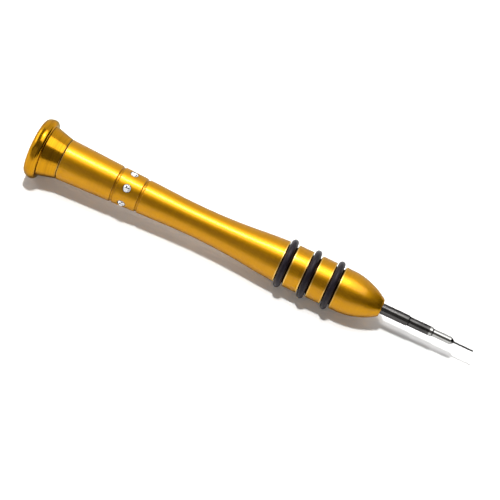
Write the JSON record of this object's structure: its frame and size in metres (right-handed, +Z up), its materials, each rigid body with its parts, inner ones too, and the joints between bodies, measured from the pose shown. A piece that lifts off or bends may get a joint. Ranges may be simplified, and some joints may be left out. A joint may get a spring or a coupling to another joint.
{
  "type": "pocket screwdriver",
  "caption": "Slim turned screwdriver with a waisted handle, a band of set stones, rubber grip rings, a thin stepped blade and an end cap that spins on a ball bearing.",
  "frame": {"origin": "centre of the swivel cap's flat end face", "axes": "+X along the tool from the cap to the tip, +Z up as it lies, +Y to the left seen from the cap"},
  "size_m": [0.1254, 0.0166, 0.0166],
  "materials": {
    "satin_gold": "gold anodised, satin turned",
    "polished_gold": "gold anodised, polished",
    "blade_steel": "blackened rear steps, bright front step",
    "ring_rubber": "moulded, slightly glossy",
    "cut_stone": "cut and foil backed",
    "bearing_steel": "ground and polished",
    "shield_steel": "pressed sheet",
    "cage_plastic": "moulded",
    "screw_steel": "machined"
  },
  "bodies": {
    "handle": {"handle_body": "satin_gold", "blade": "blade_steel", "grip_ring_rear": "ring_rubber", "grip_ring_middle": "ring_rubber", "grip_ring_front": "ring_rubber", "stone_1": "cut_stone", "stone_2": "cut_stone", "stone_3": "cut_stone", "stone_4": "cut_stone", "stone_5": "cut_stone", "stone_6": "cut_stone", "bearing_inner_ring": "bearing_steel", "pivot_screw": "screw_steel", "pivot_spacer": "screw_steel"},
    "cap": {"swivel_cap": "polished_gold", "bearing_outer_ring": "bearing_steel", "bearing_shield_rear": "shield_steel", "bearing_shield_front": "shield_steel"},
    "ball_set": {"bearing_cage": "cage_plastic", "bearing_ball_1": "bearing_steel", "bearing_ball_2": "bearing_steel", "bearing_ball_3": "bearing_steel", "bearing_ball_4": "bearing_steel", "bearing_ball_5": "bearing_steel", "bearing_ball_6": "bearing_steel", "bearing_ball_7": "bearing_steel"}
  },
  "joints": [
    {"name": "cap_spin", "type": "hinge", "parent": "handle", "child": "cap", "pos_m": [0.0065, 0, 0], "axis": [1, 0, 0], "continuous": true},
    {"name": "ball_orbit", "type": "hinge", "parent": "handle", "child": "ball_set", "pos_m": [0.0065, 0, 0], "axis": [1, 0, 0], "continuous": true}
  ],
  "couplings": [
    {"joint": "ball_orbit", "follows": "cap_spin", "ratio": 0.62}
  ]
}
